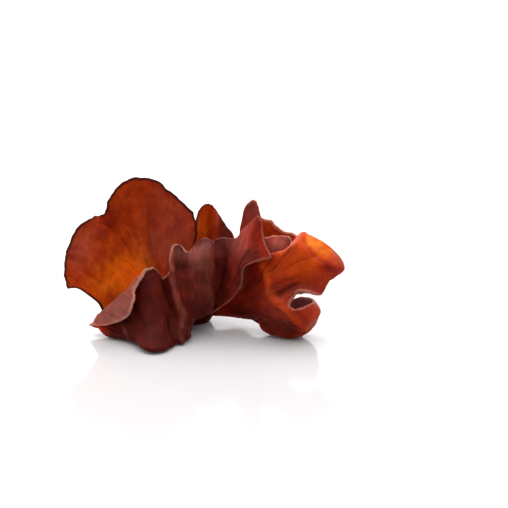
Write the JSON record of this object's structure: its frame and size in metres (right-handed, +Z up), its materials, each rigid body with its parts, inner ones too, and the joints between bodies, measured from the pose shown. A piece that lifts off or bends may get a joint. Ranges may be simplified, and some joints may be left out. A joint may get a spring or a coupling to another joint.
{
  "type": "wood ear mushroom cluster",
  "caption": "Cluster of thin, folded, ear-shaped wood ear fungus lobes on one short holdfast that is cut off flat to stand on.",
  "frame": {"origin": "middle of the holdfast's flat cut, on the surface that the cluster stands on", "axes": "+Z up, +X along the cluster's length towards the hooked ear, -Y towards the front with the rolled ear"},
  "size_m": [0.1062, 0.0544, 0.0586],
  "materials": {
    "ear_flesh": "satin, thin and translucent",
    "felted_flesh": "fine dull felt",
    "holdfast_flesh": "dull"
  },
  "bodies": {
    "root": {"fan_ear": "ear_flesh", "front_ear": "felted_flesh", "tall_ear": "felted_flesh", "right_ear": "ear_flesh", "back_ear": "ear_flesh", "right_back_ear": "ear_flesh", "inner_ear": "felted_flesh", "holdfast": "holdfast_flesh"}
  },
  "joints": []
}
